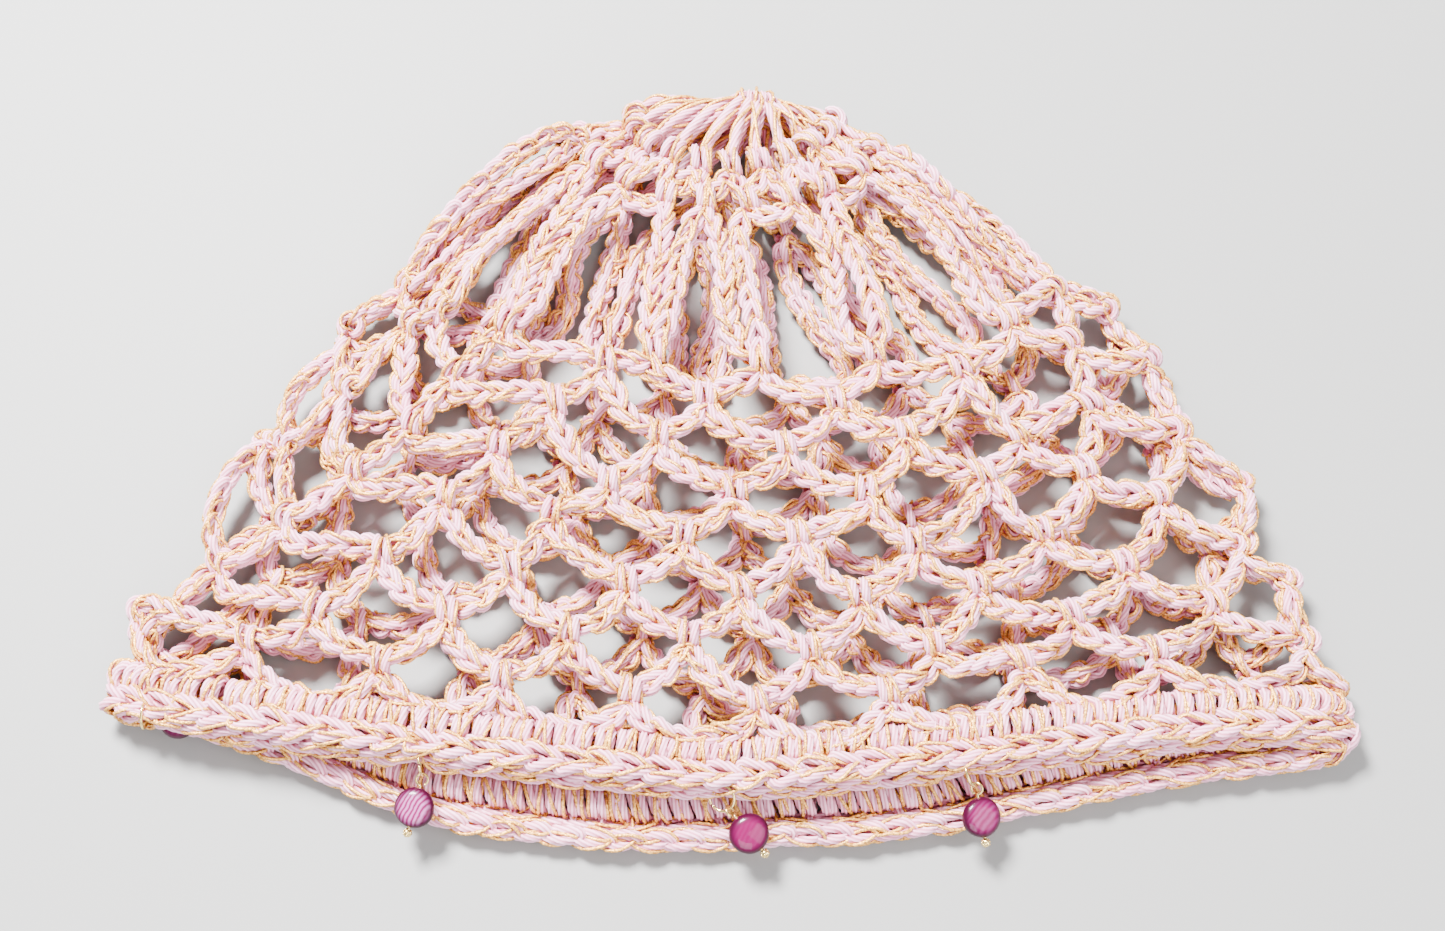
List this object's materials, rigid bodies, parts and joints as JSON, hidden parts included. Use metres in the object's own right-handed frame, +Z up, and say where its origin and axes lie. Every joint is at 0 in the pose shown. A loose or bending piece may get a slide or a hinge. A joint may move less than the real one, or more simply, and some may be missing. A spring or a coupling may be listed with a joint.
{
  "type": "crocheted mesh cap",
  "caption": "Open-mesh crocheted cap of pink cotton and gold thread, lying flat, with dyed shell bead charms hanging from its front brim on split rings.",
  "frame": {"origin": "middle of the flat cap's box, on the table that it lies on", "axes": "+X along the mouth from the tucked charm's end to the other fold, +Y from the mouth to the gathered crown, +Z up from the table"},
  "size_m": [0.256, 0.1686, 0.0191],
  "materials": {
    "cotton": "soft multi-ply cotton yarn, slightly fuzzy",
    "gold_thread": "thin twisted metallic thread worked in with the cotton",
    "gold_wire": "polished pale gold plating",
    "dyed_shell": "polished mother-of-pearl dyed magenta"
  },
  "bodies": {
    "cap": {"crown_ring": "cotton", "crown_round_front": "cotton", "crown_round_back": "cotton", "net_front": "cotton", "net_back": "cotton", "brim_row_front": "cotton", "brim_row_back": "cotton", "brim_edge_front": "cotton", "brim_edge_back": "cotton"},
    "ring_1": {"jump_ring_1": "gold_wire"},
    "pin_1": {"head_pin_1": "gold_wire"},
    "bead_1": {"shell_bead_1": "dyed_shell"},
    "ring_2": {"jump_ring_2": "gold_wire"},
    "pin_2": {"head_pin_2": "gold_wire"},
    "bead_2": {"shell_bead_2": "dyed_shell"},
    "ring_3": {"jump_ring_3": "gold_wire"},
    "pin_3": {"head_pin_3": "gold_wire"},
    "bead_3": {"shell_bead_3": "dyed_shell"},
    "ring_4": {"jump_ring_4": "gold_wire"},
    "pin_4": {"head_pin_4": "gold_wire"},
    "bead_4": {"shell_bead_4": "dyed_shell"}
  },
  "joints": [
    {"name": "ring_1_swing", "type": "hinge", "parent": "cap", "child": "ring_1", "pos_m": [-0.0612, -0.06771, 0.0113], "axis": [-0.9703, -0.2419, 0], "range_deg": [0, 100]},
    {"name": "pin_1_swing", "type": "hinge", "parent": "ring_1", "child": "pin_1", "pos_m": [-0.06022, -0.07163, 0.01016], "axis": [-0.0626, 0.2511, -0.9659], "range_deg": [-65, 20]},
    {"name": "bead_1_spin", "type": "hinge", "parent": "pin_1", "child": "bead_1", "pos_m": [-0.06155, -0.07747, 0.00873], "axis": [-0.2153, -0.9484, -0.2326], "continuous": true},
    {"name": "ring_2_swing", "type": "hinge", "parent": "cap", "child": "ring_2", "pos_m": [-0.0016, -0.07213, 0.0113], "axis": [-0.9397, -0.342, 0], "range_deg": [0, 100]},
    {"name": "pin_2_swing", "type": "hinge", "parent": "ring_2", "child": "pin_2", "pos_m": [0.00049, -0.07558, 0.01038], "axis": [-0.6972, -0.4145, -0.5849], "range_deg": [0, 50]},
    {"name": "bead_2_spin", "type": "hinge", "parent": "pin_2", "child": "bead_2", "pos_m": [0.00452, -0.07988, 0.00861], "axis": [0.656, -0.698, -0.2872], "continuous": true},
    {"name": "ring_3_swing", "type": "hinge", "parent": "cap", "child": "ring_3", "pos_m": [0.0476, -0.06527, 0.0113], "axis": [-0.9563, -0.2924, 0], "range_deg": [0, 100]},
    {"name": "pin_3_swing", "type": "hinge", "parent": "ring_3", "child": "pin_3", "pos_m": [0.04901, -0.06914, 0.01057], "axis": [-0.4049, -0.3647, 0.8385], "range_deg": [0, 50]},
    {"name": "bead_3_spin", "type": "hinge", "parent": "pin_3", "child": "bead_3", "pos_m": [0.05028, -0.07486, 0.0087], "axis": [0.2075, -0.9297, -0.3042], "continuous": true},
    {"name": "ring_4_swing", "type": "hinge", "parent": "cap", "child": "ring_4", "pos_m": [-0.117, -0.06102, 0.0099], "axis": [-1, 0, 0], "range_deg": [0, 30]},
    {"name": "pin_4_swing", "type": "hinge", "parent": "ring_4", "child": "pin_4", "pos_m": [-0.117, -0.06102, 0.0057], "axis": [0, 0, -1], "range_deg": [0, 40]},
    {"name": "bead_4_spin", "type": "hinge", "parent": "pin_4", "child": "bead_4", "pos_m": [-0.11085, -0.06102, 0.0057], "axis": [1, 0, 0], "continuous": true}
  ]
}
